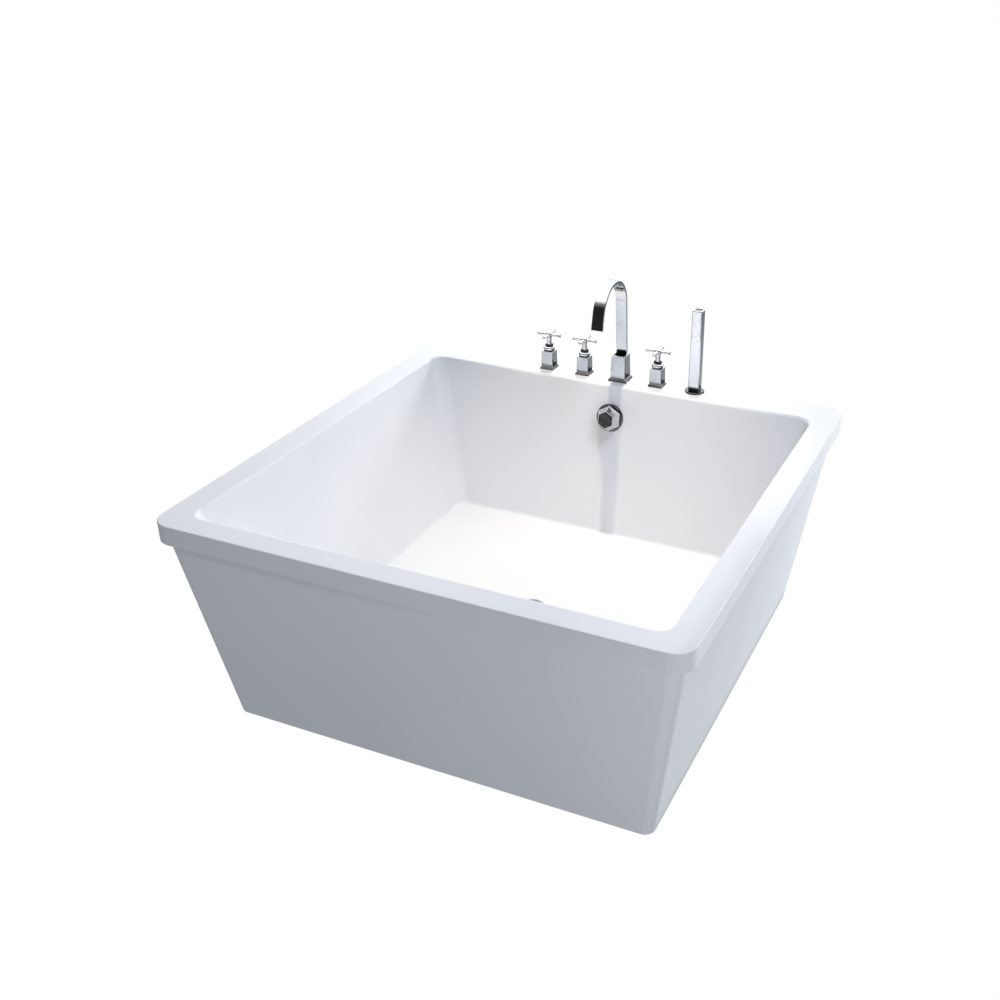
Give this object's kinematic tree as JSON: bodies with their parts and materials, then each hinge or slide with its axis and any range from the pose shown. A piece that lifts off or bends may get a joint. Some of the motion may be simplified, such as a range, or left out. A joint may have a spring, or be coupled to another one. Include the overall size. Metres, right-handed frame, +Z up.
{
  "type": "freestanding square bathtub",
  "caption": "Square freestanding white acrylic bathtub with a tapered skirt, deck-mounted cross-handle taps, an arched ribbon spout and a pull-out hand shower on the back rim.",
  "frame": {"origin": "on the floor under the middle of the square rim", "axes": "+X right along the front face, +Y from the front to the tap side, +Z up"},
  "size_m": [1.2, 1.2, 0.813],
  "materials": {
    "acrylic_white": "polished white acrylic",
    "board_plywood": "bare plywood",
    "frame_zinc": "galvanised steel tube",
    "foot_steel": "zinc-plated steel",
    "chrome": "polished chrome plate",
    "seal_rubber": "black seal rubber",
    "waste_plastic": "moulded white-grey plastic",
    "cable_jacket": "black cable jacket",
    "brass": "machined brass",
    "copper_pipe": "drawn copper",
    "black_plastic": "dark moulded plastic",
    "spray_silicone": "pale grey moulded spray plate"
  },
  "bodies": {
    "root": {"basin_shell": "acrylic_white", "outer_skirt": "acrylic_white", "base_board": "board_plywood", "frame_rail_left": "frame_zinc", "frame_rail_right": "frame_zinc", "frame_cross_front": "frame_zinc", "frame_cross_back": "frame_zinc", "foot_nuts": "foot_steel", "drain_flange": "chrome", "overflow_flange": "chrome", "valve_flanges": "chrome", "spout_flange": "chrome", "spout_block": "chrome", "spout_neck": "chrome", "handset_ring": "chrome", "hot_valve_block": "chrome", "hot_valve_collar": "chrome", "cold_valve_block": "chrome", "cold_valve_collar": "chrome", "shower_valve_block": "chrome", "shower_valve_collar": "chrome", "waste_gaskets": "seal_rubber", "deck_washers": "seal_rubber", "waste_body": "waste_plastic", "waste_tail": "waste_plastic", "overflow_body": "waste_plastic", "overflow_pipe": "waste_plastic", "plug_cable": "cable_jacket", "valve_cartridges": "brass", "deck_nuts": "brass", "spout_shank": "brass", "hose_guide": "brass", "hot_valve_body": "brass", "cold_valve_body": "brass", "shower_valve_body": "brass", "hot_link_pipe": "copper_pipe", "mixed_link_pipe": "copper_pipe", "shower_link_pipe": "copper_pipe", "handset_cradle": "black_plastic", "spout_outlet": "black_plastic"},
    "hot_valve_handle": {"hot_valve_spindle": "brass", "hot_valve_handle_hub": "chrome", "hot_valve_handle_arms": "chrome"},
    "cold_valve_handle": {"cold_valve_spindle": "brass", "cold_valve_handle_hub": "chrome", "cold_valve_handle_arms": "chrome"},
    "shower_valve_handle": {"shower_valve_spindle": "brass", "shower_valve_handle_hub": "chrome", "shower_valve_handle_arms": "chrome"},
    "handset": {"handset_body": "chrome", "handset_spray_plate": "spray_silicone", "handset_inlet": "brass"},
    "waste_knob": {"overflow_knob": "chrome", "overflow_spindle": "brass"},
    "plug": {"drain_plug": "chrome"},
    "foot_front_left": {"foot_front_left": "foot_steel"},
    "foot_front_right": {"foot_front_right": "foot_steel"},
    "foot_back_left": {"foot_back_left": "foot_steel"},
    "foot_back_right": {"foot_back_right": "foot_steel"}
  },
  "joints": [
    {"name": "hot_valve_turn", "type": "hinge", "parent": "root", "child": "hot_valve_handle", "pos_m": [-0.21, 0.555, 0.615], "axis": [0, 0, 1], "range_deg": [0, 90]},
    {"name": "cold_valve_turn", "type": "hinge", "parent": "root", "child": "cold_valve_handle", "pos_m": [-0.105, 0.555, 0.615], "axis": [0, 0, 1], "range_deg": [-90, 0]},
    {"name": "shower_valve_turn", "type": "hinge", "parent": "root", "child": "shower_valve_handle", "pos_m": [0.105, 0.555, 0.615], "axis": [0, 0, 1], "range_deg": [0, 90]},
    {"name": "handset_lift", "type": "slide", "parent": "root", "child": "handset", "axis": [0, 0, 1], "range_m": [0, 0.4]},
    {"name": "waste_knob_turn", "type": "hinge", "parent": "root", "child": "waste_knob", "pos_m": [0, 0.48774, 0.434], "axis": [0, -0.9865, 0.1636], "range_deg": [0, 90]},
    {"name": "plug_slide", "type": "slide", "parent": "root", "child": "plug", "axis": [0, 0, 1], "range_m": [-0.01, 0]},
    {"name": "foot_front_left_screw", "type": "slide", "parent": "root", "child": "foot_front_left", "axis": [0, 0, 1], "range_m": [-0.012, 0.005]},
    {"name": "foot_front_right_screw", "type": "slide", "parent": "root", "child": "foot_front_right", "axis": [0, 0, 1], "range_m": [-0.012, 0.005]},
    {"name": "foot_back_left_screw", "type": "slide", "parent": "root", "child": "foot_back_left", "axis": [0, 0, 1], "range_m": [-0.012, 0.005]},
    {"name": "foot_back_right_screw", "type": "slide", "parent": "root", "child": "foot_back_right", "axis": [0, 0, 1], "range_m": [-0.012, 0.005]}
  ],
  "couplings": [
    {"joint": "plug_slide", "follows": "waste_knob_turn", "m_per_rad": -0.006366}
  ]
}
